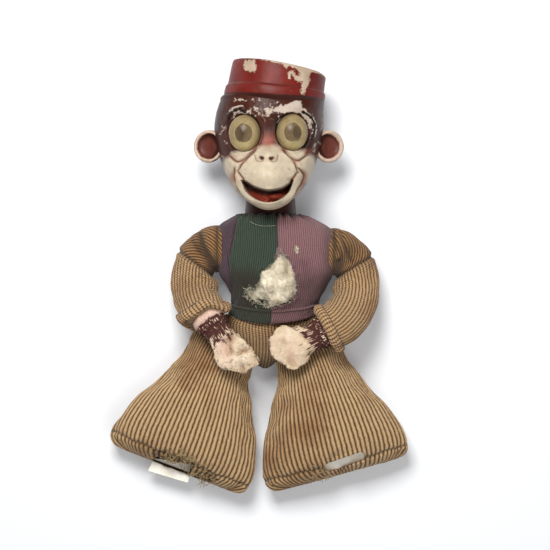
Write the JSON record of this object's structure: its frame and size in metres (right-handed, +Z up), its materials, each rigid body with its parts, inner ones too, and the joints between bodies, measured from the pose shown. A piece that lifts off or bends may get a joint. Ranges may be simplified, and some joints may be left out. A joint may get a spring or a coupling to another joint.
{
  "type": "monkey doll",
  "caption": "Soft monkey doll lying on its back: moulded composition head with a pillbox hat and googly eyes, moulded hands, ribbed vest torn over its wadding, bell-bottomed corduroy legs",
  "frame": {"origin": "on the flat of the back, under the middle of the chest, where the doll lies on its back", "axes": "+Z up out of the belly, +Y towards the hat, +X towards the right of someone looking down at it"},
  "size_m": [0.24, 0.3501, 0.0931],
  "materials": {
    "painted_composition": "moulded composition of sawdust and glue, sprayed with satin enamel: maroon-brown head, brick red hat, ivory face, worn and chipped to the pale ground",
    "bare_composition": "moulded composition with its paint flaked off, chalky cream, maroon left at the wrist",
    "clouded_celluloid": "blown clear film dome, yellowed and clouded",
    "eye_card": "matt pressed card disc",
    "pupil_black": "thin black disc",
    "corduroy": "wide-wale cotton corduroy, khaki, about 7 wales to the inch, faded and stained",
    "green_cord": "fine ribbed cotton, dark green",
    "mauve_cord": "fine ribbed cotton, mauve",
    "purple_cord": "fine ribbed cotton, plum",
    "wadding": "loose cotton wadding, off-white",
    "card": "stiff pulp card, off-white",
    "cord": "waxed twine, dark"
  },
  "bodies": {
    "trunk": {"vest_front_green": "green_cord", "vest_front_mauve": "mauve_cord", "vest_back": "purple_cord", "waistband_green": "green_cord", "waistband_mauve": "mauve_cord", "torso_wadding": "wadding", "seat_front": "corduroy", "seat_back": "corduroy", "seat_wadding": "wadding", "neck_tie": "cord"},
    "head": {"head_face": "painted_composition", "head_back": "painted_composition", "left_eye_plate": "eye_card", "left_eye_dome": "clouded_celluloid", "right_eye_plate": "eye_card", "right_eye_dome": "clouded_celluloid"},
    "left_pupil": {"left_eye_pupil": "pupil_black"},
    "right_pupil": {"right_eye_pupil": "pupil_black"},
    "left_arm": {"left_shoulder_panel": "corduroy", "left_sleeve": "corduroy", "left_cuff": "corduroy", "left_arm_wadding": "wadding"},
    "left_hand": {"left_hand": "bare_composition"},
    "left_leg": {"left_leg_front": "corduroy", "left_leg_back": "corduroy", "left_leg_wadding": "wadding", "left_hem_card": "card"},
    "right_arm": {"right_shoulder_panel": "corduroy", "right_sleeve": "corduroy", "right_cuff": "corduroy", "right_arm_wadding": "wadding"},
    "right_hand": {"right_hand": "bare_composition"},
    "right_leg": {"right_leg_front": "corduroy", "right_leg_back": "corduroy", "right_leg_wadding": "wadding", "right_hem_card": "card"}
  },
  "joints": [
    {"name": "neck_turn", "type": "hinge", "parent": "trunk", "child": "head", "pos_m": [-0.004, 0.044, 0.031], "axis": [0, 1, 0], "range_deg": [-45, 45]},
    {"name": "left_pupil_roll", "type": "hinge", "parent": "head", "child": "left_pupil", "pos_m": [-0.0242, 0.1065, 0.0725], "axis": [-0.0872, 0, 0.9962], "continuous": true},
    {"name": "right_pupil_roll", "type": "hinge", "parent": "head", "child": "right_pupil", "pos_m": [0.0128, 0.1072, 0.0725], "axis": [0.0872, 0, 0.9962], "continuous": true},
    {"name": "left_shoulder", "type": "hinge", "parent": "trunk", "child": "left_arm", "pos_m": [-0.0464, 0.017, 0.028], "axis": [-1, 0, 0], "range_deg": [0, 95]},
    {"name": "right_shoulder", "type": "hinge", "parent": "trunk", "child": "right_arm", "pos_m": [0.0464, 0.0145, 0.028], "axis": [-1, 0, 0], "range_deg": [0, 95]},
    {"name": "left_wrist", "type": "hinge", "parent": "left_arm", "child": "left_hand", "pos_m": [-0.051, -0.0415, 0.051], "axis": [0.5505, -0.8348, 0], "range_deg": [-10, 10]},
    {"name": "right_wrist", "type": "hinge", "parent": "right_arm", "child": "right_hand", "pos_m": [0.0384, -0.049, 0.051], "axis": [-0.8988, -0.4384, 0], "range_deg": [-10, 10]},
    {"name": "left_hip", "type": "hinge", "parent": "trunk", "child": "left_leg", "pos_m": [-0.04, -0.058, 0.0207], "axis": [-1, 0, 0], "range_deg": [-25, 15]},
    {"name": "right_hip", "type": "hinge", "parent": "trunk", "child": "right_leg", "pos_m": [0.023, -0.058, 0.0207], "axis": [-1, 0, 0], "range_deg": [-25, 15]}
  ]
}
